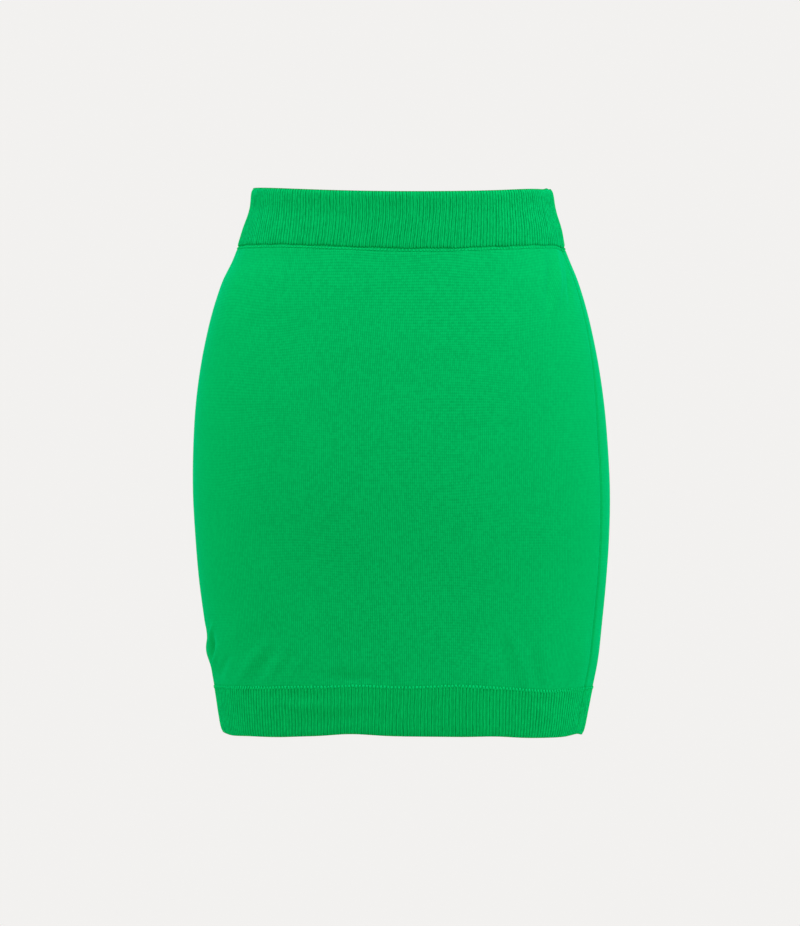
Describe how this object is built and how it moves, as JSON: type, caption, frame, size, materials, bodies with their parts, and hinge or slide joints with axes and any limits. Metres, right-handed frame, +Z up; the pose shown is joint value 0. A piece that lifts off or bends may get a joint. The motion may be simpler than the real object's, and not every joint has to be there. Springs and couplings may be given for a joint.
{
  "type": "mini skirt",
  "caption": "Fitted pull-on knit mini skirt, held open as worn, with a folded rib waistband, plain jersey panels and a rib hem.",
  "frame": {"origin": "centre of the waistband, half way up its height, on the axis of the tube that the skirt makes", "axes": "+Z up, from the hem to the waist; +X to the right of the picture, across the hips; +Y to the back, so the side that the picture shows faces -Y"},
  "size_m": [0.342, 0.2335, 0.4473],
  "materials": {
    "waistband_rib": "fine green rib knit, folded double, matt",
    "body_jersey": "fine green jersey knit, matt with a soft sheen",
    "hem_rib": "fine green rib knit, single, matt"
  },
  "bodies": {
    "root": {"waistband_front": "waistband_rib", "waistband_back": "waistband_rib", "front_panel": "body_jersey", "back_panel": "body_jersey", "hem_front": "hem_rib", "hem_back": "hem_rib"}
  },
  "joints": []
}
